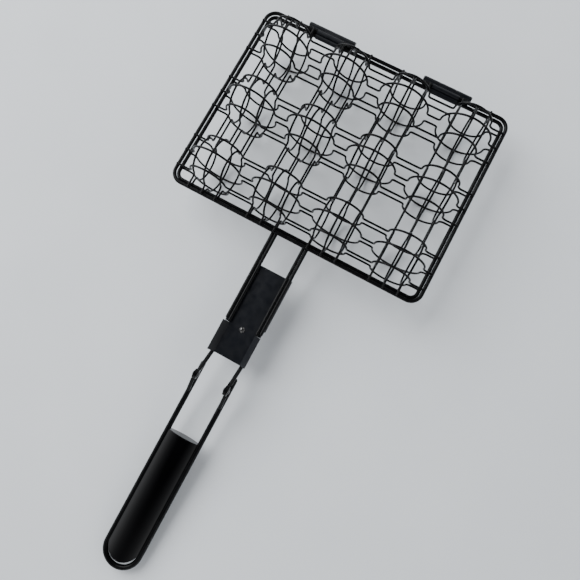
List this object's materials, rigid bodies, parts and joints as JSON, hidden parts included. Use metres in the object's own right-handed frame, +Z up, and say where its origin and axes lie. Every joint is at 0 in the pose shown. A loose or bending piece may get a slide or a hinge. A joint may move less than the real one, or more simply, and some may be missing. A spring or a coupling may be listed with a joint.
{
  "type": "grill basket",
  "caption": "Two-part wire grill basket with rows of round food pockets, hinged along one long side, with a long handle that folds back over the basket.",
  "frame": {"origin": "centre of the closed basket, in the parting plane midway between its two rim frames", "axes": "+X along the basket's long side, +Y towards the hinges (the handle is on -Y), +Z up, square to the rim frames"},
  "size_m": [0.29, 0.5972, 0.076],
  "materials": {
    "coated_wire": "black non-stick coating, satin, over round steel wire",
    "coated_sheet": "blue-black non-stick coating, satin, over bent steel sheet",
    "fasteners": "black coating, worn a little on the crowns",
    "grip": "gloss black, moulded"
  },
  "bodies": {
    "base": {"lower_frame": "coated_wire", "lower_cross_wires_middle": "coated_wire", "lower_cross_wires_side": "coated_wire", "lower_long_wires_middle": "coated_wire", "lower_long_wires_side": "coated_wire", "lower_rails": "coated_wire", "lower_hinge_leaf_left": "coated_sheet", "lower_hinge_leaf_right": "coated_sheet", "hinge_pin_left": "fasteners", "hinge_pin_right": "fasteners", "handle_bracket": "coated_sheet", "bracket_rivet": "fasteners", "joint_yoke": "coated_wire", "yoke_strap": "coated_sheet", "pivot_rivet_left": "fasteners", "pivot_rivet_right": "fasteners"},
    "lid": {"upper_frame": "coated_wire", "upper_cross_wires_middle": "coated_wire", "upper_cross_wires_side": "coated_wire", "upper_long_wires_middle": "coated_wire", "upper_long_wires_side": "coated_wire", "upper_rails": "coated_wire", "upper_hinge_leaf_left": "coated_sheet", "upper_hinge_leaf_right": "coated_sheet"},
    "handle": {"handle_loop": "coated_wire", "pivot_ear_left": "coated_wire", "pivot_ear_right": "coated_wire", "grip": "grip"}
  },
  "joints": [
    {"name": "lid_hinge", "type": "hinge", "parent": "base", "child": "lid", "pos_m": [0, 0.11515, 0], "axis": [-1, 0, 0], "range_deg": [0, 180]},
    {"name": "handle_fold", "type": "hinge", "parent": "base", "child": "handle", "pos_m": [0, -0.27309, -0.0011], "axis": [-1, 0, 0], "range_deg": [0, 170]}
  ]
}
